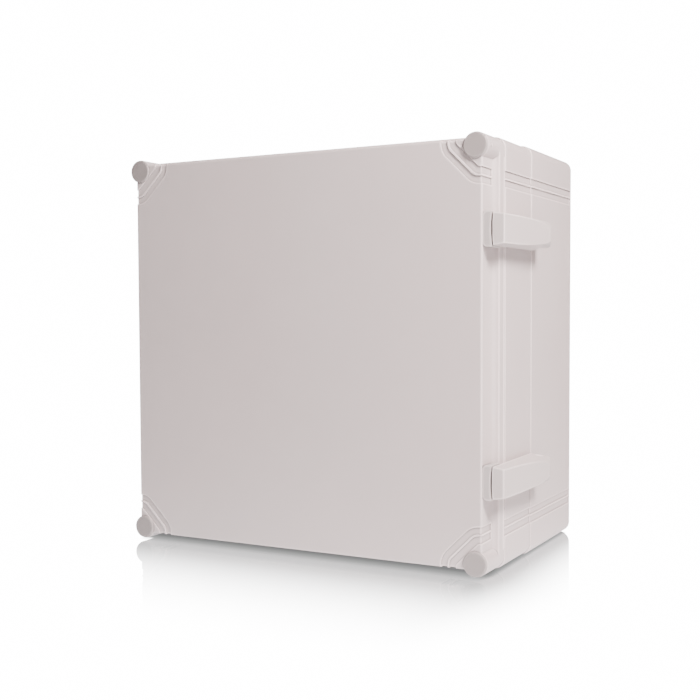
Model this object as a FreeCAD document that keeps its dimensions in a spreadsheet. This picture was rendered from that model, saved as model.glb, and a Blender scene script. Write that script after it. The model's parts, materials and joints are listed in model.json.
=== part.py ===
import FreeCAD, Part
import os
import re
import Sketcher

# Square wall box with a side-hung cover. Millimetres, +Z up, the front faces -Y.
# The origin is the centre of the back face, so "depth" below is always measured from
# that face towards the front: a depth of 30 lies at Y = -30.

SIZES = (
    ("past", 1.0, "how far a cutting tool reaches past the face that it opens"),
    # depths, from the back face towards the front
    ("back_wall", 4.0, "thickness of the base's back wall"),
    ("step_depth", 92.5, "small step round the base's outside"),
    ("parting_depth", 142.4, "plane where the cover meets the base"),
    ("flange_depth", 152.0, "front of the cover's flange"),
    ("front_depth", 172.0, "front of the cover's panel"),
    # square outlines, as half of their width
    ("base_rear_half", 140.9, "base outside, behind the step"),
    ("base_front_half", 140.2, "base outside, in front of the step"),
    ("base_inner_half", 136.0, "base inside"),
    ("flange_half", 139.75, "cover flange outside"),
    ("panel_half", 135.7, "cover outside, in front of the flange"),
    ("cover_inner_half", 132.5, "cover inside"),
    ("panel_thickness", 3.2, "cover's front panel"),
    ("base_round", 7.6, "outer corners of the base"),
    ("flange_round", 8.3, "outer corners of the flange and radius of the corner posts"),
    ("panel_edge_round", 1.2, "edge round the front panel"),
    ("cove_radius", 3.5, "hollow curve between the cover's sides and its flange"),
    ("outside_edge_round", 0.8, "outer edges round the base's two front rims"),
    ("flange_edge_round", 0.5, "outer edges of the flange"),
    ("back_edge_round", 1.5, "outer edge round the back"),
    # decorative bands beside every corner
    ("band_outer", 118.1, "far edge of the outer band from the centre line"),
    ("ridge_outer", 113.4, "near edge of the outer band, where the ridge starts"),
    ("ridge_inner", 112.3, "far edge of the inner band, where the ridge ends"),
    ("band_inner", 107.8, "near edge of the inner band"),
    ("band_recess", 0.8, "depth of the bands"),
    ("band_end", 2.2, "depth at which the bands stop, short of the back face"),
    ("outer_diagonal", 251.4, "outer band's diagonal, as the sum of its two coordinates"),
    ("ridge_outer_diagonal", 244.6, "ridge's outer diagonal"),
    ("ridge_inner_diagonal", 242.8, "ridge's inner diagonal"),
    ("inner_diagonal", 236.7, "inner band's diagonal"),
    ("outer_bend", 3.0, "bend of the outer band's outer edge"),
    ("ridge_bend", 7.5, "bends of the ridge"),
    ("inner_bend", 12.5, "bend of the inner band's inner edge"),
    ("gate_mark_radius", 0.9, "moulding gate's mark on the upper right post"),
    ("gate_mark_height", 0.5, "how far that mark stands out"),
    ("gate_mark_depth", 166.9, "the mark, from the back face"),
    # cover screws, one in each corner
    ("screw_place", 131.45, "screw axes from the centre, both ways"),
    ("column_radius", 12.2, "corner columns inside the base and the cover"),
    ("recess_radius", 6.0, "recess for the screw head and the cap's stem"),
    ("recess_floor", 158.0, "floor of that recess"),
    ("screw_radius", 3.0, "thread of the cover screw, size 6"),
    ("head_radius", 4.8, "head of the cover screw"),
    ("head_height", 4.0, "height of that head"),
    ("head_seat", 166.0, "underside of the head while the screw is backed out"),
    ("screw_tip", 143.0, "tip of the screw while it is backed out"),
    ("head_bevel", 0.6, "bevel round the head"),
    ("point_bevel", 0.8, "bevel of the screws' points"),
    ("drive_half_length", 3.4, "half the length of the cross slots in the head"),
    ("drive_half_width", 0.6, "half the width of those slots"),
    ("drive_depth", 1.8, "depth of those slots"),
    ("washer_height", 1.0, "sealing washer under the head"),
    ("running_gap", 0.05, "radial clearance of turning and sliding fits"),
    ("passage_gap", 0.1, "radial clearance of the screw's way through the cover"),
    ("insert_radius", 4.0, "outside of the brass insert"),
    ("insert_length", 13.0, "length of the brass insert"),
    ("insert_sink", 0.3, "how far the insert lies below the base's rim"),
    ("core_radius", 4.6, "moulding core up each column from the back"),
    ("core_depth", 112.0, "end of that core"),
    ("cap_radius", 8.1, "rim of the screw cap"),
    ("cap_height", 1.6, "how far the cap stands proud of the panel"),
    ("cap_edge", 0.9, "rounded edge of the cap"),
    ("cap_stem_length", 3.8, "stem of the cap, inside the recess"),
    ("cap_stem_inside", 5.15, "inside radius of that stem"),
    # gasket ring
    ("gasket_outer_half", 139.0, "outer edge of the gasket"),
    ("gasket_inner_half", 136.8, "inner edge of the gasket"),
    ("gasket_outer_bow", 9.0, "radius by which it passes inside the screws, outer edge"),
    ("gasket_inner_bow", 11.2, "the same, inner edge"),
    ("gasket_height", 2.0, "thickness of the gasket"),
    ("notch_reach", 12.0, "reach of the notch beyond each screw axis"),
    # side hinges
    ("hinge_height", 79.4, "middle of each hinge above and below the centre"),
    ("pin_x", 148.7, "hinge axis from the centre line"),
    ("pin_depth", 99.0, "hinge axis from the back face"),
    ("pin_radius", 2.5, "hinge pin"),
    ("pin_half", 8.6, "half the length of the pin"),
    ("barrel_radius", 7.7, "rounded tail of the arm, about the pin"),
    ("arm_front", 171.0, "nose of the arm"),
    ("nose_inner", 141.8, "inner face of the nose, where it bows out most"),
    ("nose_outer", 149.9, "outer corner of the nose"),
    ("arm_wall_side", 141.0, "where the arm runs along the base's wall"),
    ("arm_bend_depth", 117.0, "where that stretch begins"),
    ("arm_tangent_x", 156.1, "end of the arm's outer face, beside the pin"),
    ("arm_tangent_depth", 100.6, "the same, from the back face"),
    ("arm_half_inside", 10.5, "half the arm's height at its inner side"),
    ("arm_half_outside", 9.2, "half the arm's height at its outer side"),
    ("tail_round", 8.8, "rounded top and bottom of the tail, seen from the side"),
    ("tail_corner", 5.8, "the same, seen from the front"),
    ("arm_edge_round", 0.7, "edges of the arm's nose"),
    ("arm_blank_half", 14.0, "half the height of the blank that the arm is shaped from"),
    ("slot_half", 5.3, "half the height of the slot for the lug"),
    ("slot_radius", 5.4, "inside of that slot about the pin"),
    ("slot_front", 3.4, "front wall of the slot, ahead of the pin"),
    ("slot_wall_side", 14.0, "how far the slot runs from the pin towards the wall, and past it"),
    ("slot_corner", 3.3, "slot's front corner, out from the pin"),
    ("slot_bend", 0.9, "where the slot starts to widen, ahead of the pin"),
    ("slot_back", 12.0, "open end of the slot, behind the pin"),
    ("slot_back_corner", 6.7, "outer corner of that end, out from the pin"),
    ("lug_half", 5.0, "half the height of the lug"),
    ("lug_radius", 5.0, "eye of the lug, about the pin"),
    ("lug_neck_half", 3.0, "half the thickness of the lug's neck"),
    ("lug_seat", 1.5, "how deep the neck sits in the base's wall"),
    ("block_outer", 140.8, "outer face of the hinge block, where it is hollowed most"),
    ("block_rise", 0.8, "how far the block's upper and lower ends stand out beyond that"),
    ("gap_curve", 65.0, "radius of the two curved faces of block and arm"),
    ("block_half", 11.2, "half the block's height"),
    ("block_front", 171.0, "front face of the block"),
    ("block_round", 3.0, "corners of the block beside the panel"),
    ("spigot_inner", 136.8, "end of the arm's spigot inside the block"),
    ("spigot_back", 158.0, "back of the spigot"),
    ("spigot_front", 166.0, "front of the spigot"),
    ("spigot_half", 8.0, "half the spigot's height"),
    ("small_screw_radius", 2.0, "size 4 screws of the hinges"),
    ("small_head_radius", 3.6, "heads of those screws"),
    ("small_head_height", 2.4, "height of those heads"),
    ("small_drive_half", 0.5, "half the width of their slots"),
    ("small_drive_depth", 1.2, "depth of their slots"),
    ("tip_room", 0.3, "room ahead of a screw's tip"),
    ("arm_screw_spread", 4.2, "arm screws above and below the hinge's middle"),
    ("arm_screw_depth", 162.0, "arm screws from the back face"),
    ("arm_screw_tip", 146.6, "tips of the arm screws"),
    ("lug_screw_tip", 145.4, "tip of the lug screw"),
    # fixing holes and the plate inside
    ("wall_hole_place", 113.0, "wall holes from the centre, both ways"),
    ("wall_hole_radius", 3.25, "wall holes"),
    ("wall_collar_radius", 8.0, "collar round each wall hole, inside"),
    ("wall_collar_top", 7.0, "front of that collar"),
    ("plate_half_width", 98.0, "mounting plate, half width"),
    ("plate_half_height", 120.0, "mounting plate, half height"),
    ("plate_seat", 16.0, "back face of the plate, on its four posts"),
    ("plate_thickness", 2.0, "mounting plate"),
    ("plate_round", 4.0, "corners of the plate"),
    ("post_radius", 5.5, "posts under the plate"),
    ("post_x", 88.0, "posts from the centre line"),
    ("post_z", 108.0, "posts above and below the centre"),
    ("plate_screw_radius", 2.5, "size 5 screws of the plate and the rail"),
    ("plate_head_radius", 4.6, "heads of those screws"),
    ("plate_head_height", 3.2, "height of those heads"),
    ("pan_side", 1.6, "straight side of those heads"),
    ("pan_slope", 1.4, "how far the heads narrow towards the top"),
    ("socket_radius", 1.3, "sockets in the heads"),
    ("socket_floor", 1.4, "floor of the sockets, above the seat"),
    ("hole_gap", 0.3, "radial clearance of the screw holes in plate and rail"),
    ("plate_screw_length", 10.0, "plate screws below the plate"),
    # mounting rail, the common 35 mm top hat
    ("rail_half_length", 90.0, "half the rail's length"),
    ("rail_half", 17.5, "half of the rail's width"),
    ("rail_channel", 13.5, "half of the raised channel, outside"),
    ("rail_height", 7.5, "height of the rail"),
    ("rail_sheet", 1.0, "thickness of the rail"),
    ("rail_screw_x", 72.0, "rail screws from the centre line"),
    ("rail_screw_length", 5.0, "rail screws below the rail"),
    # terminals on the rail
    ("terminal_pitch", 8.2, "spacing of the terminals"),
    ("terminal_width", 8.1, "width of one terminal"),
    ("terminal_half", 23.0, "half the height of a terminal"),
    ("shoulder_half", 17.0, "half the height of its narrower front"),
    ("shoulder_depth", 22.0, "front of its wide part, from the rail's front"),
    ("shoulder_slope", 6.0, "depth over which it narrows"),
    ("terminal_depth", 38.0, "front of the terminal, from the rail's front"),
    ("foot_depth", 2.4, "how far the foot reaches behind the rail's front"),
    ("foot_gap", 0.15, "clearance between the foot and the rail"),
    ("lip_half", 15.4, "inner end of the foot's lips"),
    ("entry_depth", 14.0, "wire entries, from the rail's front"),
    ("entry_radius", 2.6, "wire entries"),
    ("well_place", 12.0, "screw wells from the terminal's middle"),
    ("well_radius", 2.7, "screw wells"),
    ("bar_half_length", 16.0, "half the length of the current bar"),
    ("bar_half_width", 2.2, "half the width of the current bar"),
    ("bar_low", 10.0, "back of the current bar, from the rail's front"),
    ("bar_high", 19.0, "front of the current bar"),
    ("way_radius", 1.7, "wire's way through the current bar"),
    ("clamp_head_seat", 23.0, "underside of the clamp screws' heads"),
    ("clamp_screw_radius", 1.75, "clamp screws"),
    ("clamp_head_radius", 2.5, "heads of the clamp screws"),
    ("clamp_head_top", 28.0, "front of those heads, from the rail's front"),
    ("clamp_screw_tip", 16.6, "tips of the clamp screws"),
    ("stop_width", 9.5, "width of an end stop"),
    ("stop_depth", 27.0, "front of an end stop, from the rail's front"),
    ("stop_half", 21.0, "half the height of its front"),
    ("stop_gap", 0.1, "gap between an end stop and its neighbour"),
)

CORNERS = {"top_right": (1, 1), "top_left": (-1, 1), "bottom_left": (-1, -1), "bottom_right": (1, -1)}
HINGES = {"upper": 1, "lower": -1}
LINE_TERMINALS = 6
RAIL_FRONT = "(plate_seat + plate_thickness + rail_height)"

START_RADIUS = 10.0  # sketches start as a regular figure of this radius, before their sizes are bound
SAME = 1e-4  # two places closer than this are the same place

doc = FreeCAD.newDocument("wall_box")
kept = []


def fill_sheet():
    """Write every driving size into the spreadsheet, with its name and its meaning."""
    sheet = doc.addObject("Spreadsheet::Sheet", "Sizes")
    for row, (alias, value, meaning) in enumerate(SIZES, start=1):
        sheet.set("A%d" % row, alias)
        sheet.set("B%d" % row, str(value))
        sheet.set("C%d" % row, meaning)
        sheet.setAlias("B%d" % row, alias)
    doc.recompute()


def formula(text):
    """A size written with the sheet's names, as an expression that can be bound."""
    return re.sub(r"[a-z][a-z_]+", lambda word: "Sizes." + word.group(0), str(text))


def place(item, spot):
    """Bind an object's position to three sizes."""
    for axis, text in zip("xyz", spot):
        item.setExpression("Placement.Base." + axis, formula(text))


def keep(item, node):
    """Mark an object as a finished sub-part, under its node's name."""
    item.Label = node
    kept.append(item)
    return item


def box(name, low, high):
    """A block between two opposite corners."""
    item = doc.addObject("Part::Box", name)
    for side, start, end in zip(("Length", "Width", "Height"), low, high):
        item.setExpression(side, formula("(%s) - (%s)" % (end, start)))
    place(item, low)
    return item


def slab(name, half_x, half_z, start, end):
    """A block centred on the box's axis, between two depths."""
    low = ("-(%s)" % half_x, "-(%s)" % end, "-(%s)" % half_z)
    high = (half_x, "-(%s)" % start, half_z)
    return box(name, low, high)


def rod(name, radius, axis, spot, length):
    """A round bar that starts at a point and runs along an axis."""
    item = doc.addObject("Part::Cylinder", name)
    item.setExpression("Radius", formula(radius))
    item.setExpression("Height", formula(length))
    item.Placement.Rotation = FreeCAD.Rotation(FreeCAD.Vector(0, 0, 1), FreeCAD.Vector(*axis))
    place(item, spot)
    return item


def deep_rod(name, radius, x, z, start, end):
    """A round bar along the box's depth, between two depths."""
    return rod(name, radius, (0, -1, 0), (x, "-(%s)" % start, z), "(%s) - (%s)" % (end, start))


def corner_rods(name, radius, start, end, place_x="screw_place", place_z="screw_place"):
    """Four deep rods, one in each corner."""
    return [
        deep_rod(name + "_" + corner, radius, "%d * %s" % (x, place_x), "%d * %s" % (z, place_z), start, end)
        for corner, (x, z) in CORNERS.items()
    ]


def fuse(name, items):
    """Several objects joined, or kept side by side where they don't meet."""
    item = doc.addObject("Part::MultiFuse", name)
    item.Shapes = items
    return item


def common(name, items):
    """What several objects share."""
    item = doc.addObject("Part::MultiCommon", name)
    item.Shapes = items
    return item


def cut(name, base, tools):
    """An object with one or more others taken away."""
    item = doc.addObject("Part::Cut", name)
    item.Base = base
    item.Tool = tools[0] if len(tools) == 1 else fuse(name + "_tools", tools)
    return item


def outline(body, name, plane, corners, start):
    """A sketch of straight lines whose corners are bound to the sheet."""
    sketch = body.newObject("Sketcher::SketchObject", name)
    origin = next(item for item in body.Origin.OriginFeatures if item.Role == plane)
    sketch.AttachmentSupport = [(origin, "")]
    sketch.MapMode = "FlatFace"
    sketch.setExpression("AttachmentOffset.Base.z", formula(start))
    count = len(corners)
    turns = [FreeCAD.Rotation(FreeCAD.Vector(0, 0, 1), 360.0 * number / count) for number in range(count)]
    spots = [turn.multVec(FreeCAD.Vector(START_RADIUS, 0, 0)) for turn in turns]
    for number in range(count):
        sketch.addGeometry(Part.LineSegment(spots[number], spots[(number + 1) % count]))
    for number in range(count):
        sketch.addConstraint(Sketcher.Constraint("Coincident", number, 2, (number + 1) % count, 1))
    for number, corner in enumerate(corners):
        for kind, text, value in zip(("DistanceX", "DistanceY"), corner, spots[number]):
            index = sketch.addConstraint(Sketcher.Constraint(kind, -1, 1, number, 1, value))
            sketch.setExpression("Constraints[%d]" % index, formula(text))
    return sketch


def edges_where(shape, test):
    """Names of the edges that pass a test."""
    return ["Edge%d" % (number + 1) for number, edge in enumerate(shape.Edges) if test(edge)]


def soften(body, name, radius, test):
    """Round the edges of a body that pass a test."""
    doc.recompute()
    base = body.Tip
    names = edges_where(base.Shape, test)
    if not names:
        raise ValueError("no edge to round in " + name)
    fillet = body.newObject("PartDesign::Fillet", name)
    fillet.Base = (base, names)
    fillet.setExpression("Radius", formula(radius))
    body.Tip = fillet
    doc.recompute()
    return fillet


def prism(name, plane, corners, start, length, rounds=()):
    """A body padded from an outline; rounds pairs a radius with the corners it rounds."""
    body = doc.addObject("PartDesign::Body", name)
    sketch = outline(body, name + "_outline", plane, corners, start)
    pad = body.newObject("PartDesign::Pad", name + "_pad")
    pad.Profile = sketch
    pad.setExpression("Length", formula(length))
    body.Tip = pad
    for radius, numbers in rounds:
        doc.recompute()
        normal = sketch.Placement.Rotation.multVec(FreeCAD.Vector(0, 0, 1))
        spots = [sketch.Placement.multVec(sketch.Geometry[n].StartPoint) for n in numbers]
        soften(body, "%s_round_%d" % (name, numbers[0]), radius,
               lambda edge: runs_through(edge, normal, spots))
    return body


def rim_at(body, side):
    """A test for the edges that lie in a body's foremost or rearmost plane."""
    doc.recompute()
    level = getattr(body.Shape.BoundBox, side)
    return lambda edge: max(abs(edge.BoundBox.YMin - level), abs(edge.BoundBox.YMax - level)) < SAME


def runs_through(edge, direction, spots):
    """Whether a straight edge runs along a direction through one of some points."""
    if edge.Curve.TypeId != "Part::GeomLine":
        return False
    if edge.Curve.Direction.cross(direction).Length > 1e-6:
        return False
    return any(edge.distToShape(Part.Vertex(spot))[0] < SAME for spot in spots)


def square(name, half, radius, start, end):
    """A square block with rounded corners, between two depths."""
    corners = [("%d * %s" % (x, half), "%d * %s" % (z, half)) for x, z in CORNERS.values()]
    return prism(name, "XZ_Plane", corners, start, "(%s) - (%s)" % (end, start), [(radius, range(4))])


def turned(name, corners, x, z):
    """A turned piece along the depth: its outline is given as (radius, depth) pairs."""
    body = doc.addObject("PartDesign::Body", name)
    points = [(radius, "-(%s)" % depth) for radius, depth in corners]
    sketch = outline(body, name + "_outline", "XY_Plane", points, "0")
    turn = body.newObject("PartDesign::Revolution", name + "_turn")
    turn.Profile = sketch
    turn.ReferenceAxis = (sketch, ["V_Axis"])
    turn.Angle = 360.0
    body.Tip = turn
    place(body, (x, "0", z))
    return body


def notched_square(name, half, notch, start, end):
    """A square block whose corners bow inwards round the four screws."""
    block = slab(name + "_block", half, half, start, end)
    tools = corner_rods(name + "_notch", notch, "(%s) - past" % start, "(%s) + past" % end)
    for corner, (x, z) in CORNERS.items():
        spans = [("screw_place", "screw_place + notch_reach") if sign > 0 else
                 ("-screw_place - notch_reach", "-screw_place") for sign in (x, z)]
        tools.append(box("%s_corner_%s" % (name, corner), (spans[0][0], "-(%s) - past" % end, spans[1][0]),
                         (spans[0][1], "past - (%s)" % start, spans[1][1])))
    return cut(name, block, tools)


def side_bands(name, half, start, end):
    """Shallow bands beside the corners of all four side walls."""
    outside = slab(name + "_outside", "%s + past" % half, "%s + past" % half, start, end)
    inside = slab(name + "_inside", "%s - band_recess" % half, "%s - band_recess" % half,
                  "(%s) - past" % start, "(%s) + past" % end)
    skin = cut(name + "_skin", outside, [inside])
    strips = []
    bands = {"outer": ("ridge_outer", "band_outer"), "inner": ("band_inner", "ridge_inner")}
    for band, (near, far) in bands.items():
        for sign, word in ((1, "plus"), (-1, "minus")):
            low, high = ("%d * %s" % (sign, edge) for edge in ((near, far) if sign > 0 else (far, near)))
            reach = "%s + 2 * past" % half
            across = (("-(%s)" % reach, "-(%s) - past" % end, low), (reach, "past - (%s)" % start, high))
            upright = ((low, "-(%s) - past" % end, "-(%s)" % reach), (high, "past - (%s)" % start, reach))
            strips.append(box("%s_%s_%s_across" % (name, band, word), *across))
            strips.append(box("%s_%s_%s_upright" % (name, band, word), *upright))
    return common(name, [skin, fuse(name + "_strips", strips)])


def corner_region(name, edge, diagonal, bend):
    """The corner of the panel beyond a line that bends twice, square to both edges."""
    reach = "panel_half + past"
    turn = "%s - %s" % (diagonal, edge)
    corners = [(edge, reach), (edge, turn), (turn, edge), (reach, edge), (reach, reach)]
    return prism(name, "XZ_Plane", corners, "front_depth - band_recess", "band_recess + past",
                 [(bend, [1, 2])])


def panel_bands():
    """The two bands that cross each corner of the front panel, as one tool per corner."""
    outer_near = corner_region("outer_band_near", "ridge_outer", "ridge_outer_diagonal", "ridge_bend")
    outer_far = corner_region("outer_band_far", "band_outer", "outer_diagonal", "outer_bend")
    inner_near = corner_region("inner_band_near", "band_inner", "inner_diagonal", "inner_bend")
    inner_far = corner_region("inner_band_far", "ridge_inner", "ridge_inner_diagonal", "ridge_bend")
    outer = cut("outer_band", outer_near, [outer_far])
    inner = cut("inner_band", inner_near, [inner_far])
    tool = fuse("corner_bands", [outer, inner])
    copies = [tool]
    for number, axis in enumerate(((1, 0, 0), (0, 0, 1))):
        for index, item in enumerate(list(copies)):
            mirror = doc.addObject("Part::Mirroring", "corner_bands_%d_%d" % (number, index))
            mirror.Source = item
            mirror.Normal = FreeCAD.Vector(*axis)
            copies.append(mirror)
    return copies


def pin_end(side):
    """The inner end of a hinge pin, the end nearer to the box's middle height."""
    return ("pin_x", "-pin_depth", "%d * (hinge_height - pin_half)" % side)


def hinge_box(name, side, x, depth, half):
    """A block centred on a hinge's middle height."""
    middle = "%d * hinge_height" % side
    low = (x[0], "-(%s)" % depth[1], "%s - (%s)" % (middle, half))
    high = (x[1], "-(%s)" % depth[0], "%s + (%s)" % (middle, half))
    return box(name, low, high)


def lug_screw_holes():
    """Seats and screw holes for the hinge lugs in the base's right wall."""
    tools = []
    for word, side in HINGES.items():
        across = ("base_front_half - lug_seat", "base_front_half + past")
        depth = ("pin_depth - lug_neck_half", "pin_depth + lug_neck_half")
        start = ("base_inner_half - past", "-pin_depth", "%d * hinge_height" % side)
        length = "base_front_half - base_inner_half + 2 * past"
        tools.append(hinge_box("lug_seat_" + word, side, across, depth, "lug_half"))
        tools.append(rod("lug_screw_hole_" + word, "small_screw_radius + passage_gap", (1, 0, 0),
                         start, length))
    return tools


def base_box():
    """The base: one moulding with corner columns, posts for the plate and wall holes."""
    rear = square("base_rear", "base_rear_half", "base_round", "0", "step_depth")
    soften(rear, "back_edge", "back_edge_round", rim_at(rear, "YMax"))
    soften(rear, "step_edge", "outside_edge_round", rim_at(rear, "YMin"))
    front = square("base_front", "base_front_half", "base_round", "back_wall", "parting_depth")
    soften(front, "parting_edge", "outside_edge_round", rim_at(front, "YMin"))
    outside = fuse("base_outside", [rear, front])
    cavity = notched_square("base_cavity", "base_inner_half", "column_radius",
                            "back_wall", "parting_depth + past")
    shell = cut("base_shell", outside, [cavity])
    posts = corner_rods("plate_post", "post_radius", "back_wall - past", "plate_seat", "post_x", "post_z")
    collars = corner_rods("wall_collar", "wall_collar_radius", "back_wall - past", "wall_collar_top",
                          "wall_hole_place", "wall_hole_place")
    moulding = fuse("base_moulding", [shell] + posts + collars)
    tools = [side_bands("rear_bands", "base_rear_half", "band_end", "step_depth"),
             side_bands("front_bands", "base_front_half", "step_depth", "parting_depth + past")]
    tools += corner_rods("insert_bore", "insert_radius", "parting_depth - insert_length",
                         "parting_depth + past")
    tools += corner_rods("column_core", "core_radius", "-past", "core_depth")
    tools += corner_rods("wall_hole", "wall_hole_radius", "-past", "wall_collar_top + past",
                         "wall_hole_place", "wall_hole_place")
    tools += corner_rods("plate_bore", "plate_screw_radius", "plate_seat - plate_screw_length",
                         "plate_seat + past", "post_x", "post_z")
    return keep(cut("base_box_shape", moulding, tools + lug_screw_holes()), "base_box")


def gasket():
    """The sealing ring: it passes inside the four screws."""
    end = "parting_depth + gasket_height"
    outer = notched_square("gasket_outer", "gasket_outer_half", "gasket_outer_bow", "parting_depth", end)
    inner = notched_square("gasket_inner", "gasket_inner_half", "gasket_inner_bow",
                           "parting_depth - past", end + " + past")
    return keep(cut("gasket_shape", outer, [inner]), "cover_gasket")


def cove():
    """A ring with a hollow curve that fills the corner between the panel's sides and the flange."""
    edge = "(panel_half + cove_radius)"
    top = "(flange_depth + cove_radius)"
    ring = square("cove_ring", edge, "flange_round", "flange_depth - past", top)
    inside = "panel_half - past"
    tools = [slab("cove_inside", inside, inside, "flange_depth - 2 * past", top + " + past")]
    for sign in (1, -1):
        spot = {"upright": ("%d * %s" % (sign, edge), "-" + top, "-%s - past" % edge),
                "across": ("-%s - past" % edge, "-" + top, "%d * %s" % (sign, edge))}
        for word, axis in (("upright", (0, 0, 1)), ("across", (1, 0, 0))):
            name = "cove_%s_%d" % (word, sign + 1)
            tools.append(rod(name, "cove_radius", axis, spot[word], "2 * %s + 2 * past" % edge))
    return cut("cove", ring, tools)


def arm_screw_holes(name, start, length):
    """The ways of the arm screws through a wall, two at each hinge."""
    holes = []
    for word, side in HINGES.items():
        for sign in (1, -1):
            spot = (start, "-arm_screw_depth", "%d * hinge_height + %d * arm_screw_spread" % (side, sign))
            holes.append(rod("%s_%s_%d" % (name, word, sign + 1), "small_screw_radius + passage_gap",
                             (1, 0, 0), spot, length))
    return holes


def cover(ring):
    """The cover: panel, side walls, flange and the four corner posts."""
    flange = square("flange", "flange_half", "flange_round", "parting_depth", "flange_depth")
    soften(flange, "flange_front_edge", "flange_edge_round", rim_at(flange, "YMin"))
    soften(flange, "flange_back_edge", "flange_edge_round", rim_at(flange, "YMax"))
    corners = [("%d * panel_half" % x, "%d * panel_half" % z) for x, z in CORNERS.values()]
    panel = prism("panel", "XZ_Plane", corners, "parting_depth", "front_depth - parting_depth")
    soften(panel, "panel_edge", "panel_edge_round", rim_at(panel, "YMin"))
    posts = corner_rods("corner_post", "flange_round", "parting_depth + past", "front_depth")
    gate_mark = rod("gate_mark", "gate_mark_radius", (1, 0, 0),
                    ("screw_place", "-gate_mark_depth", "screw_place"), "flange_round + gate_mark_height")
    outside = fuse("cover_outside", [flange, panel, cove(), gate_mark] + posts)
    tools = [notched_square("cover_cavity", "cover_inner_half", "column_radius", "parting_depth - past",
                            "front_depth - panel_thickness"),
             side_bands("cover_bands", "panel_half", "flange_depth + cove_radius", "front_depth + past"),
             ring]
    tools += panel_bands()
    tools += corner_rods("cap_recess", "recess_radius", "recess_floor", "front_depth + past")
    tools += corner_rods("screw_passage", "screw_radius + passage_gap", "parting_depth - past",
                         "recess_floor + past")
    tools += arm_screw_holes("arm_screw_hole", "cover_inner_half - past",
                             "panel_half - cover_inner_half + 2 * past")
    return keep(cut("cover_shape", outside, tools), "cover")


def cover_screw(corner, x, z):
    """A cover screw with a cross slot in its head."""
    top = "(head_seat + head_height)"
    blank = turned("screw_blank_" + corner, [
        ("0", "screw_tip"), ("screw_radius - point_bevel", "screw_tip"),
        ("screw_radius", "screw_tip + point_bevel"), ("screw_radius", "head_seat"),
        ("head_radius", "head_seat"), ("head_radius", top + " - head_bevel"),
        ("head_radius - head_bevel", top), ("0", top)], x, z)
    slots = []
    for number, (half_x, half_z) in enumerate((("drive_half_width", "drive_half_length"),
                                               ("drive_half_length", "drive_half_width"))):
        low = ("%s - %s" % (x, half_x), "-%s - past" % top, "%s - %s" % (z, half_z))
        high = ("%s + %s" % (x, half_x), "drive_depth - " + top, "%s + %s" % (z, half_z))
        slots.append(box("drive_%s_%d" % (corner, number), low, high))
    return cut("screw_shape_" + corner, blank, slots)


def screw_cap(corner, x, z):
    """The flat cap over a cover screw: a disc with a rounded edge and a stem."""
    top = "front_depth + cap_height"
    cap = turned("cap_" + corner, [
        ("cap_stem_inside", "front_depth - cap_stem_length"),
        ("recess_radius - running_gap", "front_depth - cap_stem_length"),
        ("recess_radius - running_gap", "front_depth"), ("cap_radius", "front_depth"), ("cap_radius", top),
        ("0", top), ("0", "front_depth"), ("cap_stem_inside", "front_depth")], x, z)
    soften(cap, "cap_rim_" + corner, "cap_edge", rim_at(cap, "YMin"))
    return cap


def corner_hardware():
    """Screw, sealing washer, cap and insert of every corner."""
    inserts = []
    for corner, (x, z) in CORNERS.items():
        spot = ("%d * screw_place" % x, "%d * screw_place" % z)
        keep(cover_screw(corner, *spot), "cover_screw_" + corner)
        keep(screw_cap(corner, *spot), "screw_cap_" + corner)
        bore = "screw_radius + running_gap"
        low = "head_seat - washer_height"
        washer = turned("washer_" + corner, [
            (bore, low), ("head_radius", low), ("head_radius", "head_seat"), (bore, "head_seat")], *spot)
        keep(washer, "sealing_washer_" + corner)
        low, high = "parting_depth - insert_length", "parting_depth - insert_sink"
        inserts.append(turned("insert_" + corner, [
            (bore, low), ("insert_radius", low), ("insert_radius", high), (bore, high)], *spot))
    keep(fuse("insert_group", inserts), "threaded_inserts")


def arm_slot(word, middle):
    """The room for the lug in the arm's tail, through the whole swing."""
    corners = [
        ("pin_x - slot_wall_side", "-pin_depth - slot_front"),
        ("pin_x + slot_corner", "-pin_depth - slot_front"),
        ("pin_x + slot_corner", "-pin_depth - slot_bend"),
        ("pin_x + slot_back_corner", "slot_back - pin_depth"),
        ("pin_x - slot_wall_side", "slot_back - pin_depth")]
    slot = prism("arm_slot_" + word, "XY_Plane", corners, "%s - slot_half" % middle, "2 * slot_half")
    eye = rod("arm_eye_" + word, "slot_radius", (0, 0, 1), ("pin_x", "-pin_depth", "%s - slot_half" % middle),
              "2 * slot_half")
    return [slot, eye]


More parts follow.
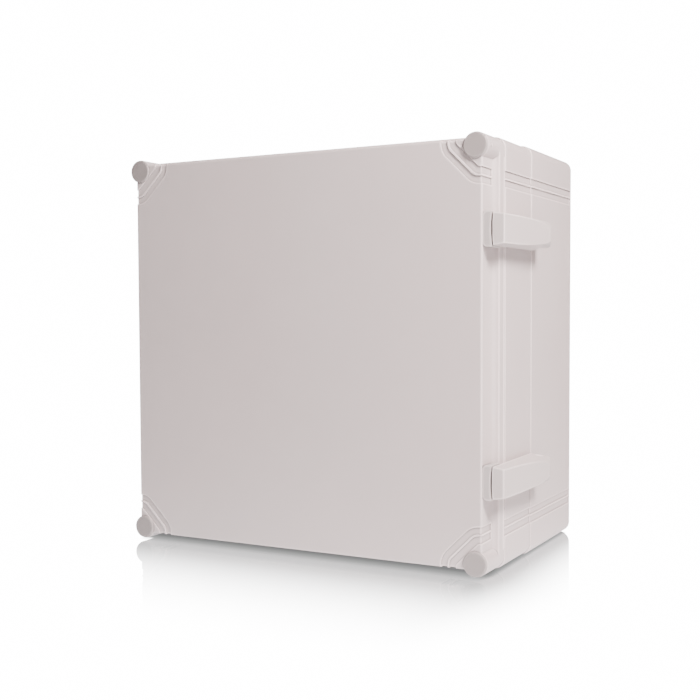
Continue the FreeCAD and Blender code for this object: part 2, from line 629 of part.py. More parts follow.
def arm_body(word, middle):
    """The arm's outside: what its plan, its front view, its side view and its bowed inner face share."""
    start = middle + " - arm_blank_half"
    tail = "pin_depth - barrel_radius"
    end, far = "pin_x + barrel_radius", "pin_x + 2 * barrel_radius"
    low_in, high_in = "%s - arm_half_inside" % middle, "%s + arm_half_inside" % middle
    low_out, high_out = "%s - arm_half_outside" % middle, "%s + arm_half_outside" % middle
    wedge = prism("arm_wedge_" + word, "XY_Plane", [
        ("nose_inner", "-arm_front"), ("nose_outer", "-arm_front"), ("arm_tangent_x", "-arm_tangent_depth"),
        ("pin_x", "-pin_depth"), ("arm_wall_side", "-pin_depth"), ("arm_wall_side", "-arm_bend_depth")],
        start, "2 * arm_blank_half", [("arm_edge_round", [0, 1])])
    barrel = rod("arm_barrel_" + word, "barrel_radius", (0, 0, 1), ("pin_x", "-pin_depth", start),
                 "2 * arm_blank_half")
    front_view = prism("arm_taper_" + word, "XZ_Plane", [
        ("arm_wall_side - past", low_in), ("nose_inner", low_in), ("nose_outer", low_out), (end, low_out),
        (end, high_out), ("nose_outer", high_out), ("nose_inner", high_in),
        ("arm_wall_side - past", high_in)], tail + " - past",
        "arm_front - %s + 2 * past" % tail.replace(" - ", " + "), [("tail_corner", [3, 4])])
    side_view = prism("arm_side_" + word, "YZ_Plane", [
        ("-arm_front", low_in), ("-(%s)" % tail, low_in), ("-(%s)" % tail, high_in), ("-arm_front", high_in)],
        "panel_half", "%s - panel_half" % far, [("tail_round", [1, 2]), ("arm_edge_round", [0, 3])])
    bow = deep_rod("arm_bow_" + word, "gap_curve", "nose_inner + gap_curve", middle, "back_wall",
                   "front_depth + past")
    plan = fuse("arm_plan_" + word, [wedge, barrel])
    return common("arm_body_" + word, [plan, front_view, side_view, bow])


def hinge_arm(word, side):
    """The long arm fixed to the cover: a wedge whose round tail turns about the pin."""
    middle = "%d * hinge_height" % side
    spigot = hinge_box("arm_spigot_" + word, side, ("spigot_inner", "0.5 * (nose_inner + nose_outer)"),
                       ("spigot_back", "spigot_front"), "spigot_half")
    bore = rod("arm_bore_" + word, "pin_radius", (0, 0, side), pin_end(side), "2 * arm_blank_half")
    tools = arm_slot(word, middle) + [bore]
    for sign in (1, -1):
        spot = ("spigot_inner - past", "-arm_screw_depth", "%s + %d * arm_screw_spread" % (middle, sign))
        tools.append(rod("arm_thread_%s_%d" % (word, sign + 1), "small_screw_radius + running_gap", (1, 0, 0),
                         spot, "arm_screw_tip - spigot_inner + past + tip_room"))
    whole = fuse("arm_whole_" + word, [arm_body(word, middle), spigot])
    return keep(cut("arm_shape_" + word, whole, tools), "hinge_arm_" + word)


def hinge_block(word, side):
    """The block between the cover's side and the arm, with a socket for the arm's spigot."""
    middle = "%d * hinge_height" % side
    outer = "block_outer + block_rise"
    low, high = "%s - block_half" % middle, "%s + block_half" % middle
    corners = [("panel_half", low), (outer, low), (outer, high), ("panel_half", high)]
    back = "flange_depth + cove_radius"
    block = prism("block_" + word, "XZ_Plane", corners, back, "block_front - (%s)" % back,
                  [("block_round", [0, 3]), ("arm_edge_round", [1, 2])])
    tools = [hinge_box("block_socket_" + word, side, ("spigot_inner", outer + " + past"),
                       ("spigot_back", "spigot_front"), "spigot_half"),
             deep_rod("block_hollow_" + word, "gap_curve", "block_outer + gap_curve", middle,
                      "flange_depth", "block_front + past")]
    for sign in (1, -1):
        spot = ("panel_half - past", "-arm_screw_depth", "%s + %d * arm_screw_spread" % (middle, sign))
        tools.append(rod("block_hole_%s_%d" % (word, sign + 1), "small_screw_radius + passage_gap", (1, 0, 0),
                         spot, "spigot_inner - panel_half + 2 * past"))
    return keep(cut("block_shape_" + word, block, tools), "hinge_block_" + word)


def hinge_lug(word, side):
    """The lug on the base: an eye round the pin and a neck that is screwed to the wall."""
    middle = "%d * hinge_height" % side
    root = "base_front_half - lug_seat"
    eye = rod("lug_eye_" + word, "lug_radius", (0, 0, 1), ("pin_x", "-pin_depth", "%s - lug_half" % middle),
              "2 * lug_half")
    neck = hinge_box("lug_neck_" + word, side, (root, "pin_x"),
                     ("pin_depth - lug_neck_half", "pin_depth + lug_neck_half"), "lug_half")
    bore = rod("lug_bore_" + word, "pin_radius + running_gap", (0, 0, 1),
               ("pin_x", "-pin_depth", "%s - lug_half - past" % middle), "2 * lug_half + 2 * past")
    thread = rod("lug_thread_" + word, "small_screw_radius + running_gap", (1, 0, 0),
                 (root + " - past", "-pin_depth", middle), "lug_screw_tip - (%s) + past + tip_room" % root)
    whole = fuse("lug_whole_" + word, [eye, neck])
    return keep(cut("lug_shape_" + word, whole, [bore, thread]), "hinge_lug_" + word)


def small_screw(name, wall, tip, depth, z):
    """A hinge screw: its head bears on a wall's inside and its shank runs outwards."""
    seat = "%s - small_head_height" % wall
    outward = (1, 0, 0)
    head = rod(name + "_head", "small_head_radius", outward, (seat, "-%s" % depth, z), "small_head_height")
    shank = rod(name + "_shank", "small_screw_radius", outward, (wall, "-%s" % depth, z),
                "%s - %s" % (tip, wall))
    low = (seat + " - past", "-%s - small_drive_half" % depth, "%s - small_head_radius" % z)
    high = (seat + " + small_drive_depth", "-%s + small_drive_half" % depth, "%s + small_head_radius" % z)
    return cut(name, fuse(name + "_blank", [head, shank]), [box(name + "_drive", low, high)])


def hinges():
    """Both hinges with their pins and screws."""
    arm_screws, lug_screws = [], []
    for word, side in HINGES.items():
        hinge_arm(word, side)
        hinge_block(word, side)
        hinge_lug(word, side)
        pin = rod("pin_" + word, "pin_radius", (0, 0, side), pin_end(side), "2 * pin_half")
        keep(pin, "hinge_pin_" + word)
        middle = "%d * hinge_height" % side
        for sign in (1, -1):
            z = "%s + %d * arm_screw_spread" % (middle, sign)
            arm_screws.append(small_screw("arm_screw_%s_%d" % (word, sign + 1), "cover_inner_half",
                                          "arm_screw_tip", "arm_screw_depth", z))
        lug_screws.append(small_screw("lug_screw_" + word, "base_inner_half", "lug_screw_tip", "pin_depth",
                                      middle))
    keep(fuse("arm_screw_group", arm_screws), "hinge_arm_screws")
    keep(fuse("lug_screw_group", lug_screws), "hinge_lug_screws")


def pan_screw(name, x, z, seat, length):
    """A pan-head screw that points at the back wall."""
    seat = "(%s)" % seat
    top = seat + " + plate_head_height"
    return turned(name, [
        ("0", "%s - %s" % (seat, length)), ("plate_screw_radius", "%s - %s + point_bevel" % (seat, length)),
        ("plate_screw_radius", seat), ("plate_head_radius", seat),
        ("plate_head_radius", seat + " + pan_side"), ("plate_head_radius - pan_slope", top),
        ("socket_radius", top), ("socket_radius", seat + " + socket_floor"),
        ("0", seat + " + socket_floor")], x, z)


def rail_spots(name, radius, start, end):
    """Deep rods where the two rail screws sit."""
    return [deep_rod("%s_%d" % (name, sign + 1), radius, "%d * rail_screw_x" % sign, "0", start, end)
            for sign in (1, -1)]


def mounting_plate(front):
    """The steel plate on its four posts, and its screws."""
    corners = [("%d * plate_half_width" % x, "%d * plate_half_height" % z) for x, z in CORNERS.values()]
    sheet = prism("plate_sheet", "XZ_Plane", corners, "plate_seat", "plate_thickness",
                  [("plate_round", range(4))])
    start, end = "plate_seat - past", front + " + past"
    holes = corner_rods("plate_hole", "plate_screw_radius + hole_gap", start, end, "post_x", "post_z")
    holes += rail_spots("rail_thread", "plate_screw_radius", start, end)
    keep(cut("plate_shape", sheet, holes), "mounting_plate")
    screws = [pan_screw("plate_screw_" + word, "%d * post_x" % x, "%d * post_z" % z, front,
                        "plate_screw_length") for word, (x, z) in CORNERS.items()]
    keep(fuse("plate_screw_group", screws), "mounting_plate_screws")


def mounting_rail(front):
    """The rail on the plate, and its screws."""
    profile = [("-(%s)" % depth, z) for z, depth in rail_profile(front)]
    rail = prism("rail_bar", "YZ_Plane", profile, "-rail_half_length", "2 * rail_half_length")
    seat = front + " + rail_sheet"
    holes = rail_spots("rail_hole", "plate_screw_radius + hole_gap", front + " - past", seat + " + past")
    keep(cut("rail_shape", rail, holes), "mounting_rail")
    screws = [pan_screw("rail_screw_%d" % (sign + 1), "%d * rail_screw_x" % sign, "0", seat,
                        "rail_screw_length") for sign in (1, -1)]
    keep(fuse("rail_screw_group", screws), "mounting_rail_screws")


def rail_profile(front):
    """The top-hat section, as (height, depth) corners; the brims lie at the front."""
    top = RAIL_FRONT
    upper = [("rail_channel - rail_sheet", front + " + rail_sheet"), ("rail_channel - rail_sheet", top),
             ("rail_half", top), ("rail_half", top + " - rail_sheet"),
             ("rail_channel", top + " - rail_sheet"), ("rail_channel", front)]
    return upper + [("-(%s)" % z, depth) for z, depth in reversed(upper)]


def rail_foot(front_corners):
    """Outline of a piece that clips on the rail's brims, as (height, depth) corners."""
    brim_back = RAIL_FRONT + " - rail_sheet - foot_gap"
    foot_back = RAIL_FRONT + " - foot_depth"
    slot_half = "rail_half + foot_gap"
    upper = [("terminal_half", foot_back), ("lip_half", foot_back), ("lip_half", brim_back),
             (slot_half, brim_back), (slot_half, RAIL_FRONT)]
    lower = [("-(%s)" % z, depth) for z, depth in reversed(upper)]
    return [("-(%s)" % depth, z) for z, depth in upper + lower + front_corners]


def terminal_outline():
    """Outline of a terminal from the side: a wide foot and a narrower front."""
    wide = RAIL_FRONT + " + shoulder_depth"
    top = RAIL_FRONT + " + terminal_depth"
    narrow = wide + " + shoulder_slope"
    return rail_foot([("-terminal_half", wide), ("-shoulder_half", narrow), ("-shoulder_half", top),
                      ("shoulder_half", top), ("shoulder_half", narrow), ("terminal_half", wide)])


def terminal(node, x):
    """A screw terminal: wire entries above and below, screw wells from the front."""
    housing = prism(node + "_block", "YZ_Plane", terminal_outline(), "%s - 0.5 * terminal_width" % x,
                    "terminal_width")
    entry = rod(node + "_entry", "entry_radius", (0, 0, 1),
                (x, "-(%s + entry_depth)" % RAIL_FRONT, "-terminal_half - past"),
                "2 * (terminal_half + past)")
    wells = [deep_rod("%s_well_%d" % (node, sign + 1), "well_radius", x, "%d * well_place" % sign,
                      RAIL_FRONT + " + bar_high - past", RAIL_FRONT + " + terminal_depth + past")
             for sign in (1, -1)]
    half_width, half_length = "(bar_half_width + running_gap)", "(bar_half_length + running_gap)"
    cavity = box(node + "_cavity",
                 ("%s - %s" % (x, half_width), "-(%s + bar_high)" % RAIL_FRONT, "-" + half_length),
                 ("%s + %s" % (x, half_width), "-(%s + bar_low)" % RAIL_FRONT, half_length))
    return keep(cut(node + "_shape", housing, [entry, cavity] + wells), node)


def current_bar(name, x):
    """The bar inside a terminal, open along the wire's way, with two threaded holes."""
    low = ("%s - bar_half_width" % x, "running_gap - (%s + bar_high)" % RAIL_FRONT, "-bar_half_length")
    high = ("%s + bar_half_width" % x, "-running_gap - (%s + bar_low)" % RAIL_FRONT, "bar_half_length")
    bar = box(name + "_bar", low, high)
    way = rod(name + "_way", "way_radius", (0, 0, 1),
              (x, "-(%s + entry_depth)" % RAIL_FRONT, "-bar_half_length - past"),
              "2 * (bar_half_length + past)")
    threads = [deep_rod("%s_thread_%d" % (name, sign + 1), "clamp_screw_radius + running_gap", x,
                        "%d * well_place" % sign, RAIL_FRONT + " + entry_depth",
                        RAIL_FRONT + " + bar_high + past") for sign in (1, -1)]
    return cut(name, bar, [way] + threads)


def clamp_screw(name, x, sign):
    """A clamp screw in its well."""
    tip = RAIL_FRONT + " + clamp_screw_tip"
    seat = RAIL_FRONT + " + clamp_head_seat"
    top = RAIL_FRONT + " + clamp_head_top"
    body = turned(name + "_blank", [
        ("0", tip), ("clamp_screw_radius", tip), ("clamp_screw_radius", seat), ("clamp_head_radius", seat),
        ("clamp_head_radius", top), ("0", top)], x, "%d * well_place" % sign)
    low = ("%s - clamp_head_radius" % x, "-(%s) - past" % top, "%d * well_place - small_drive_half" % sign)
    high = ("%s + clamp_head_radius" % x, "small_drive_depth - (%s)" % top,
            "%d * well_place + small_drive_half" % sign)
    return cut(name, body, [box(name + "_drive", low, high)])


def terminal_row():
    """Line terminals and one earth terminal on the rail, held between two end stops."""
    count = LINE_TERMINALS + 1
    places = ["%g * terminal_pitch" % (number - 0.5 * (count - 1)) for number in range(count)]
    nodes = ["line_terminal_%d" % (number + 1) for number in range(LINE_TERMINALS)] + ["earth_terminal"]
    bars, screws = [], []
    for node, x in zip(nodes, places):
        terminal(node, x)
        bars.append(current_bar(node + "_conductor", x))
        screws += [clamp_screw("%s_screw_%d" % (node, sign + 1), x, sign) for sign in (1, -1)]
    keep(fuse("bar_group", bars), "current_bars")
    keep(fuse("clamp_screw_group", screws), "clamp_screws")
    stop_front = RAIL_FRONT + " + stop_depth"
    for word, sign in (("left", -1), ("right", 1)):
        edge = "%d * (0.5 * %d * terminal_pitch + stop_gap)" % (sign, count)
        start = edge if sign > 0 else "%s - stop_width" % edge
        corners = rail_foot([("-stop_half", stop_front), ("stop_half", stop_front)])
        keep(prism("stop_block_" + word, "YZ_Plane", corners, start, "stop_width"), "end_stop_" + word)


def write_steps():
    """Check every object and every sub-part, then write one file for each sub-part."""
    doc.recompute()
    for item in doc.Objects:
        if "Invalid" in item.State or "Error" in item.State:
            raise ValueError("%s failed: %s" % (item.Label, item.State))
    os.makedirs("parts", exist_ok=True)
    for item in kept:
        if item.Shape.isNull() or not item.Shape.isValid() or not item.Shape.Solids:
            raise ValueError("bad shape in " + item.Label)
    for item in kept:
        item.Shape.exportStep("parts/%s.step" % item.Label)
        print(item.Label, len(item.Shape.Solids), "solids", round(item.Shape.Volume / 1000, 2), "cm3")


fill_sheet()
base_box()
cover(gasket())
corner_hardware()
hinges()
mounting_plate("plate_seat + plate_thickness")
mounting_rail("plate_seat + plate_thickness")
terminal_row()
write_steps()
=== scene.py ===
import json
from math import radians

import bpy
from mathutils import Euler, Matrix, Vector


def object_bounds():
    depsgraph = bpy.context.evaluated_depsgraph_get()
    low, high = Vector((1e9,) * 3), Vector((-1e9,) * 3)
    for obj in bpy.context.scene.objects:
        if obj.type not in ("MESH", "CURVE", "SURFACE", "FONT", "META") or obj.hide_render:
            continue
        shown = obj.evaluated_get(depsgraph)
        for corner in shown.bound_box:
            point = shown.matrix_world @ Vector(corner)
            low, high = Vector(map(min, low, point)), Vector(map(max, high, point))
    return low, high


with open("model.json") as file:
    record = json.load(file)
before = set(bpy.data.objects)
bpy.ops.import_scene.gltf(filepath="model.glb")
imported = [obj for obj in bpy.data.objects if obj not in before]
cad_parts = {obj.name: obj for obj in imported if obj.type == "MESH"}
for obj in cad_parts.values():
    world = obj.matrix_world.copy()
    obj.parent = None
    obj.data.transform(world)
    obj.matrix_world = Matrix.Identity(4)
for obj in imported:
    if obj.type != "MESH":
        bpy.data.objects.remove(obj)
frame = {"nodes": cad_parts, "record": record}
CAD_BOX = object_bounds()
MM = 0.001
WHITE = (1.0, 1.0, 1.0, 1.0)

# camera
CAMERA_PLACE = (0.38097, -0.80666, 0.02972)
CAMERA_TILT = radians(87.3789)      # up from looking straight down
CAMERA_ROLL = radians(0.2412)
CAMERA_TURN = radians(28.3585)      # about the upright, to the left
LENS = 55.68                        # in mm, for a frame SENSOR wide
SENSOR = 36.0
SHIFT_RIGHT = 0.0077                # as a share of the frame
SHIFT_UP = 0.0128

# room
WHITE_LIGHT = 16.0                  # brightness at which the display shows pure white
FILL_LIGHT = 0.07                   # brightness of the room, as it lights the box
LIGHTS = {
    "key": dict(spot=(0.65, -0.50, 0.55), target=(0.08, -0.10, 0), side=0.25,
                watts=23.4, color=(1.0, 0.882, 0.856)),
    "warm": dict(spot=(0.70, 0.10, 0.75), target=(0.14, -0.05, 0), side=0.4,
                 watts=1.2, color=(1.0, 0.55, 0.40)),
    "back": dict(spot=(-0.70, 0.60, 0.55), target=(0, -0.08, 0), side=0.6,
                 watts=9.0, color=(1.0, 0.97, 0.95)),
}

# floor, with a painted shadow round the box's foot
FLOOR_REACH = 6.0                   # half the floor's side
FLOOR_GAP = 0.2 * MM
FLOOR_COLOR = (0.90, 0.93, 0.95, 1)
GLOW = 0.65                         # light that the floor near the box throws up at it
PAINTED_NEAR_SHADE = 0.90                    # brightness of the painted shade on the floor by the box
FOOT_HALF = 0.133                   # half width of the foot that distances are measured from
FOOT_FRONT = -0.155                 # its front edge
FOOT_BACK = -0.005                  # its back edge
SIDE_SCALE = 2.7                    # distance to the side counts for this much more
BACK_SCALE = 8.0                    # and distance behind for this much
FADE_START = 0.024                  # distance at which the painted grey shade starts to pale
FADE_REACH = 0.192                  # distance at which the floor is white
MIRROR = 0.35                       # share of the light that the floor mirrors
MIRROR_START = 0.010                # the mirror image begins here
MIRROR_FULL = 0.020                 # and is whole from here
CONTACT_SHADE = 0.28                # brightness of the painted shadow right at the foot, as a share of the painted grey
CONTACT_REACH = 0.022               # distance over which that painted shadow ends
COVER_REACH = 0.06                  # how near the box has to be for the painted shadow on the floor
COVER_FULL = 0.55                   # open share of the sky at which that painted shadow is whole

# finishes, with painted highlights at edges and painted shade in creases
NOISE_LOW = 0.3                     # the range of values that noise gives
NOISE_HIGH = 0.7
EDGE = 0.5 * MM                     # softness of moulded edges
CORNER_REACH = 1.3 * MM             # how far the painted highlight at an edge or the painted shade in a crease reaches
CORNER_RAYS = 8
PAINTED_EDGE_HIGHLIGHT = 1.48                    # brightness of the painted highlight at an outer edge, against open surface
EDGE_FULL = 0.70                    # openness inward at a sharp edge
EDGE_NONE = 0.98                    # and at open surface
PAINTED_CREASE_SHADE = 0.56                  # brightness of the painted shade in a crease
CREASE_FULL = 0.55                  # openness outward in a deep crease
CREASE_NONE = 0.95                  # and at open surface


# ---------------------------------------------------------------- node helpers


def add_node(tree, kind, **values):
    """A shader node, with some of its inputs set by name."""
    node = tree.nodes.new(kind)
    for name, value in values.items():
        node.inputs[name.replace("_", " ")].default_value = value
    return node


def feed(tree, socket, value):
    """Sets an input to a number, or links it to an output."""
    if isinstance(value, (int, float)):
        socket.default_value = value
    else:
        tree.links.new(value, socket)


def math_node(tree, operation, first, second=0.0):
    """A Math node; each operand is a socket or a number. Returns its output."""
    node = tree.nodes.new("ShaderNodeMath")
    node.operation = operation
    feed(tree, node.inputs[0], first)
    feed(tree, node.inputs[1], second)
    return node.outputs[0]


def spread(tree, source, low, high, start=NOISE_LOW, stop=NOISE_HIGH, kind="LINEAR"):
    """Carries a value between start and stop to one between low and high."""
    node = add_node(tree, "ShaderNodeMapRange", From_Min=start, From_Max=stop, To_Min=low, To_Max=high)
    node.interpolation_type = kind
    tree.links.new(source, node.inputs["Value"])
    return node.outputs["Result"]


def mix_shaders(tree, share, first, second):
    """The first shader where share is 0, the second where it is 1."""
    node = tree.nodes.new("ShaderNodeMixShader")
    feed(tree, node.inputs[0], share)
    tree.links.new(first, node.inputs[1])
    tree.links.new(second, node.inputs[2])
    return node.outputs[0]


def add_shaders(tree, first, second):
    """The light of both shaders together."""
    node = tree.nodes.new("ShaderNodeAddShader")
    tree.links.new(first, node.inputs[0])
    tree.links.new(second, node.inputs[1])
    return node.outputs[0]


def add_object(name, data):
    """A new object in the scene, not yet placed."""
    item = bpy.data.objects.new(name, data)
    bpy.context.scene.collection.objects.link(item)
    return item


# ---------------------------------------------------------------- room


def make_camera():
    """The camera stands in front, to the right of the box and a little above its middle."""
    data = bpy.data.cameras.new("camera")
    data.sensor_width = SENSOR
    data.lens = LENS
    data.shift_x = SHIFT_RIGHT
    data.shift_y = SHIFT_UP
    camera = add_object("camera", data)
    turn = Euler((CAMERA_TILT, CAMERA_ROLL, CAMERA_TURN)).to_matrix()
    camera.matrix_world = Matrix.Translation(CAMERA_PLACE) @ turn.to_4x4()
    bpy.context.scene.camera = camera


def area_light(name, spot, target, side, watts, color):
    """A soft square light that looks at a point."""
    data = bpy.data.lights.new(name, "AREA")
    data.shape = "SQUARE"
    data.size = side
    data.energy = watts
    data.color = color
    light = add_object(name, data)
    aim = Vector(target) - Vector(spot)
    light.matrix_world = Matrix.Translation(spot) @ aim.to_track_quat("-Z", "Y").to_matrix().to_4x4()


def make_world():
    """A white room that gives a soft fill light. The camera sees pure white, both in the room itself
    and where the floor's mirror shows it."""
    world = bpy.data.worlds.new("room")
    bpy.context.scene.world = world
    world.use_nodes = True
    tree = world.node_tree
    tree.nodes.clear()
    in_mirror = (WHITE_LIGHT - PAINTED_NEAR_SHADE) / MIRROR
    fill = add_node(tree, "ShaderNodeBackground", Color=WHITE, Strength=FILL_LIGHT)
    seen = add_node(tree, "ShaderNodeBackground", Color=WHITE, Strength=WHITE_LIGHT)
    mirrored = add_node(tree, "ShaderNodeBackground", Color=WHITE, Strength=in_mirror)
    path = tree.nodes.new("ShaderNodeLightPath")
    shown = mix_shaders(tree, path.outputs["Is Singular Ray"], fill.outputs[0], mirrored.outputs[0])
    shown = mix_shaders(tree, path.outputs["Is Camera Ray"], shown, seen.outputs[0])
    out = tree.nodes.new("ShaderNodeOutputWorld")
    tree.links.new(shown, out.inputs["Surface"])


def foot_distance(tree):
    """How far a place on the floor is from the box's foot. The sides and the back count for more."""
    axes = tree.nodes.new("ShaderNodeSeparateXYZ")
    tree.links.new(tree.nodes.new("ShaderNodeTexCoord").outputs["Object"], axes.inputs[0])
    across = math_node(tree, "ABSOLUTE", axes.outputs["X"])
    across = math_node(tree, "MAXIMUM", math_node(tree, "SUBTRACT", across, FOOT_HALF), 0)
    across = math_node(tree, "MULTIPLY", across, SIDE_SCALE)
    ahead = math_node(tree, "MAXIMUM", math_node(tree, "SUBTRACT", FOOT_FRONT, axes.outputs["Y"]), 0)
    behind = math_node(tree, "MAXIMUM", math_node(tree, "SUBTRACT", axes.outputs["Y"], FOOT_BACK), 0)
    along = math_node(tree, "ADD", ahead, math_node(tree, "MULTIPLY", behind, BACK_SCALE))
    squares = math_node(tree, "ADD", math_node(tree, "POWER", across, 2), math_node(tree, "POWER", along, 2))
    return math_node(tree, "SQRT", squares)


def near_floor(tree, distance):
    """Painted shade: grey with a faint mirror image, and a painted shadow darker right at the foot where the
    box covers it.
    """
    # painted shadow: darker close to the foot, and where the box covers the floor
    close_by = spread(tree, distance, 1.0, 0.0, 0.0, CONTACT_REACH)
    openness = add_node(tree, "ShaderNodeAmbientOcclusion", Distance=COVER_REACH).outputs["AO"]
    contact = math_node(tree, "MULTIPLY", close_by, spread(tree, openness, 1.0, 0.0, COVER_FULL, 1.0))
    brightness = spread(tree, contact, PAINTED_NEAR_SHADE, CONTACT_SHADE * PAINTED_NEAR_SHADE, 0.0, 1.0)
    painted_shade = add_node(tree, "ShaderNodeEmission", Color=WHITE)
    tree.links.new(brightness, painted_shade.inputs["Strength"])
    strength = spread(tree, distance, 0.0, MIRROR, MIRROR_START, MIRROR_FULL)
    mirror = add_node(tree, "ShaderNodeBsdfGlossy", Roughness=0.0)
    tree.links.new(strength, mirror.inputs["Color"])
    return add_shaders(tree, painted_shade.outputs[0], mirror.outputs[0])


def pale_floor(tree, fade):
    """The plain floor that lights the box from below. It glows a little where it isn't faded."""
    diffuse = add_node(tree, "ShaderNodeBsdfDiffuse", Color=FLOOR_COLOR)
    glow = add_node(tree, "ShaderNodeEmission", Color=FLOOR_COLOR)
    tree.links.new(spread(tree, fade, GLOW, 0.0, 0.0, 1.0), glow.inputs["Strength"])
    return add_shaders(tree, diffuse.outputs[0], glow.outputs[0])


def floor_material():
    """The camera sees painted shade, grey by the box, and white further off. All other rays see a plain pale
    floor.
    """
    material = bpy.data.materials.new("white_floor")
    material.use_nodes = True
    tree = material.node_tree
    tree.nodes.clear()
    distance = foot_distance(tree)
    fade = spread(tree, distance, 0.0, 1.0, FADE_START, FADE_REACH, "SMOOTHSTEP")
    far = add_node(tree, "ShaderNodeEmission", Color=WHITE, Strength=WHITE_LIGHT)
    shown = mix_shaders(tree, fade, near_floor(tree, distance), far.outputs[0])
    path = tree.nodes.new("ShaderNodeLightPath")
    surface = mix_shaders(tree, path.outputs["Is Camera Ray"], pale_floor(tree, fade), shown)
    out = tree.nodes.new("ShaderNodeOutputMaterial")
    tree.links.new(surface, out.inputs["Surface"])
    return material


def make_floor():
    """The floor that the box stands on."""
    mesh = bpy.data.meshes.new("floor")
    level = CAD_BOX[0][2] - FLOOR_GAP
    far = FLOOR_REACH
    corners = [(-far, -far), (far, -far), (far, far), (-far, far)]
    mesh.from_pydata([(x, y, level) for x, y in corners], [], [(0, 1, 2, 3)])
    mesh.materials.append(floor_material())
    add_object("floor", mesh)


# ---------------------------------------------------------------- materials


def new_material(name, color, roughness, metallic=0.0):
    """A material with one Principled shader. Returns it, its tree, its shader and the place on the part."""
    material = bpy.data.materials.new(name)
    material.use_nodes = True
    tree = material.node_tree
    shader = tree.nodes["Principled BSDF"]
    shader.inputs["Base Color"].default_value = (*color, 1)
    shader.inputs["Roughness"].default_value = roughness
    shader.inputs["Metallic"].default_value = metallic
    place = tree.nodes.new("ShaderNodeTexCoord").outputs["Object"]
    return material, tree, shader, place


def noise(tree, place, scale, detail=2.0):
    """Soft noise over the part, mostly between NOISE_LOW and NOISE_HIGH."""
    node = add_node(tree, "ShaderNodeTexNoise", Scale=scale, Detail=detail)
    tree.links.new(place, node.inputs["Vector"])
    return node.outputs["Fac"]


def stretched(tree, place, x, y, z):
    """The place scaled by axis, for marks that run along one direction."""
    node = tree.nodes.new("ShaderNodeMapping")
    node.inputs["Scale"].default_value = (x, y, z)
    tree.links.new(place, node.inputs["Vector"])
    return node.outputs["Vector"]


def shade(tree, color, value):
    """A colour, or a colour output, with its brightness multiplied by value."""
    node = tree.nodes.new("ShaderNodeHueSaturation")
    if isinstance(color, tuple):
        node.inputs["Color"].default_value = (*color, 1)
    else:
        tree.links.new(color, node.inputs["Color"])
    tree.links.new(value, node.inputs["Value"])
    return node.outputs["Color"]


def bump(tree, shader, height, strength, depth, edge=0.0):
    """Fine relief on a shader. With edge, the part's edges catch the light as rounded ones do."""
    node = add_node(tree, "ShaderNodeBump", Strength=strength, Distance=depth)
    tree.links.new(height, node.inputs["Height"])
    if edge:
        rounded = add_node(tree, "ShaderNodeBevel", Radius=edge)
        tree.links.new(rounded.outputs["Normal"], node.inputs["Normal"])
    tree.links.new(node.outputs["Normal"], shader.inputs["Normal"])


def painted_corner_light(tree, inside, tone, full, none):
    """Painted light: a painted highlight at outer edges (inside) or painted shade in creases, at tone where
    openness is full. It is 1 where it is none.
    """
    node = add_node(tree, "ShaderNodeAmbientOcclusion", Distance=CORNER_REACH)
    node.inside = inside
    node.samples = CORNER_RAYS
    return spread(tree, node.outputs["AO"], tone, 1.0, full, none)


def plastic(name, color, roughness, vary=0.012, grain=2200.0, relief=0.12):
    """Moulded plastic: a very fine grain, slow changes of shade and gloss, a painted highlight on outer
    edges and painted shade in creases.
    """
    material, tree, shader, place = new_material(name, color, roughness)
    tone = spread(tree, noise(tree, place, scale=14.0, detail=3.0), 1 - vary, 1 + vary)
    # painted highlight on outer edges and painted shade in creases, multiplied into the colour
    edges = painted_corner_light(tree, True, PAINTED_EDGE_HIGHLIGHT, EDGE_FULL, EDGE_NONE)
    creases = painted_corner_light(tree, False, PAINTED_CREASE_SHADE, CREASE_FULL, CREASE_NONE)
    tone = math_node(tree, "MULTIPLY", tone, edges)
    tone = math_node(tree, "MULTIPLY", tone, creases)
    tree.links.new(shade(tree, color, tone), shader.inputs["Base Color"])
    gloss = spread(tree, noise(tree, place, scale=45.0), roughness - 0.03, roughness + 0.03)
    tree.links.new(gloss, shader.inputs["Roughness"])
    bump(tree, shader, noise(tree, place, grain), strength=relief, depth=0.05 * MM, edge=EDGE)
    return material


def rubber(name, color):
    """Matt moulded rubber with a dusty bloom."""
    material, tree, shader, place = new_material(name, color, roughness=0.62)
    bloom = spread(tree, noise(tree, place, scale=90.0, detail=4.0), 0.8, 1.5)
    tree.links.new(shade(tree, color, bloom), shader.inputs["Base Color"])
    gloss = spread(tree, noise(tree, place, scale=300.0), 0.52, 0.72)
    tree.links.new(gloss, shader.inputs["Roughness"])
    bump(tree, shader, noise(tree, place, scale=3500.0), strength=0.3, depth=0.05 * MM)
    return material


def turned_metal(name, color, roughness, tarnish=0.08):
    """Plated or drawn metal: fine marks round the work, and a little tarnish."""
    material, tree, shader, place = new_material(name, color, roughness, metallic=1.0)
    dull = spread(tree, noise(tree, place, scale=160.0, detail=4.0), 1 - tarnish, 1 + tarnish / 2)
    tree.links.new(shade(tree, color, dull), shader.inputs["Base Color"])
    wear = spread(tree, noise(tree, place, scale=420.0, detail=3.0), roughness - 0.07, roughness + 0.09)
    tree.links.new(wear, shader.inputs["Roughness"])
    marks = noise(tree, stretched(tree, place, x=600.0, y=9000.0, z=600.0), scale=1.0)
    bump(tree, shader, marks, strength=0.15, depth=0.03 * MM)
    return material


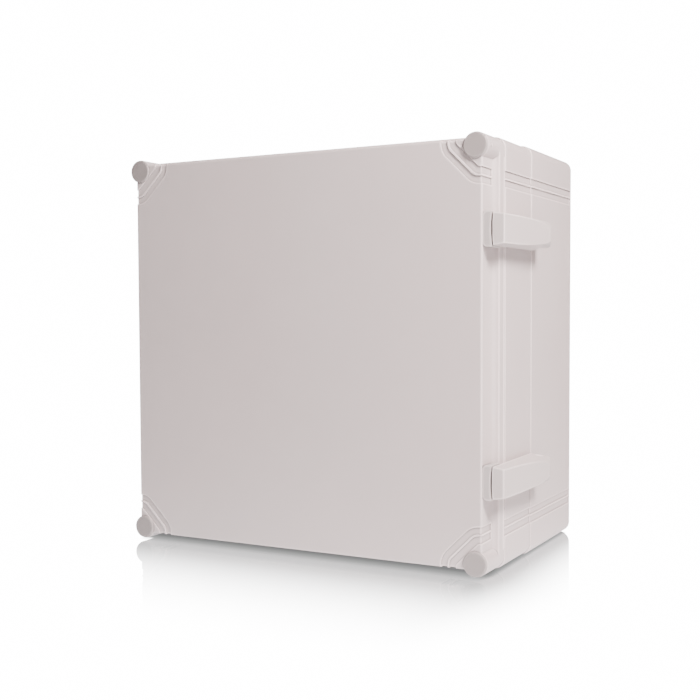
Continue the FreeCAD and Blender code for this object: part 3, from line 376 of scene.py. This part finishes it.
def galvanised(name, color):
    """Hot-dip zinc: crystals of slightly different shade and gloss, with rolling marks along the sheet."""
    material, tree, shader, place = new_material(name, color, roughness=0.4, metallic=1.0)
    crystals = add_node(tree, "ShaderNodeTexVoronoi", Scale=110.0, Randomness=1.0)
    tree.links.new(place, crystals.inputs["Vector"])
    parts = tree.nodes.new("ShaderNodeSeparateColor")
    tree.links.new(crystals.outputs["Color"], parts.inputs["Color"])
    tone = spread(tree, parts.outputs["Red"], 0.86, 1.08, start=0.0, stop=1.0)
    tree.links.new(shade(tree, color, tone), shader.inputs["Base Color"])
    gloss = spread(tree, parts.outputs["Green"], 0.30, 0.48, start=0.0, stop=1.0)
    tree.links.new(gloss, shader.inputs["Roughness"])
    rolling = noise(tree, stretched(tree, place, x=40.0, y=1500.0, z=2500.0), scale=1.0)
    bump(tree, shader, rolling, strength=0.12, depth=0.05 * MM)
    return material


def earth_plastic(name, green, yellow):
    """The two colours of an earth terminal, in broad bands with a soft border."""
    material = plastic(name, green, roughness=0.45)
    tree = material.node_tree
    shader = tree.nodes["Principled BSDF"]
    place = tree.nodes.new("ShaderNodeTexCoord").outputs["Object"]
    band = add_node(tree, "ShaderNodeTexWave", Scale=22.0)
    band.wave_type = "BANDS"
    band.bands_direction = "Z"
    tree.links.new(place, band.inputs["Vector"])
    border = spread(tree, band.outputs["Fac"], 0.0, 1.0, start=0.60, stop=0.66)
    colors = tree.nodes.new("ShaderNodeMix")
    colors.data_type = "RGBA"
    colors.inputs["A"].default_value = (*green, 1)
    colors.inputs["B"].default_value = (*yellow, 1)
    tree.links.new(border, colors.inputs["Factor"])
    mottle = spread(tree, noise(tree, place, scale=60.0, detail=3.0), 0.97, 1.03)
    tree.links.new(shade(tree, colors.outputs["Result"], mottle), shader.inputs["Base Color"])
    return material


MATERIALS = {
    "housing": plastic("housing", (0.67, 0.60, 0.595), 0.42),
    "hinge_plastic": plastic("hinge_plastic", (0.64, 0.59, 0.58), 0.42),
    # the arms' plastic darkened: painted shade on the hinge blocks
    "hinge_block": plastic("hinge_block", (0.53, 0.49, 0.482), 0.42),
    "cap_plastic": plastic("cap_plastic", (0.34, 0.31, 0.305), 0.45),
    "seal_rubber": rubber("seal_rubber", (0.035, 0.035, 0.038)),
    "screw_steel": turned_metal("screw_steel", (0.62, 0.62, 0.60), 0.30),
    "brass": turned_metal("brass", (0.78, 0.58, 0.28), 0.30, tarnish=0.15),
    "clamp_steel": turned_metal("clamp_steel", (0.50, 0.51, 0.53), 0.33),
    "galvanised_sheet": galvanised("galvanised_sheet", (0.66, 0.68, 0.70)),
    "terminal_grey": plastic("terminal_grey", (0.27, 0.28, 0.29), 0.50, vary=0.03, grain=1500.0, relief=0.2),
    "earth_green": earth_plastic("earth_green", (0.02, 0.22, 0.06), (0.75, 0.55, 0.03)),
    "stop_plastic": plastic("stop_plastic", (0.09, 0.09, 0.095), 0.52, vary=0.05, grain=1500.0, relief=0.2),
}


# ---------------------------------------------------------------- the box


def dress_parts():
    """Each part's finish by its slot, except that the hinge blocks get a darker copy of the arms' plastic:
    painted shade.
    """
    for part in frame["record"]["subparts"]:
        item = frame["nodes"][part["node"]]
        finish_or_painted_shade = "hinge_block" if part["node"].startswith("hinge_block") else part["material_slot"]
        item.data.materials.clear()
        item.data.materials.append(MATERIALS[finish_or_painted_shade])


make_camera()
make_world()
make_floor()
for light_name, light in LIGHTS.items():
    area_light(light_name, **light)
dress_parts()
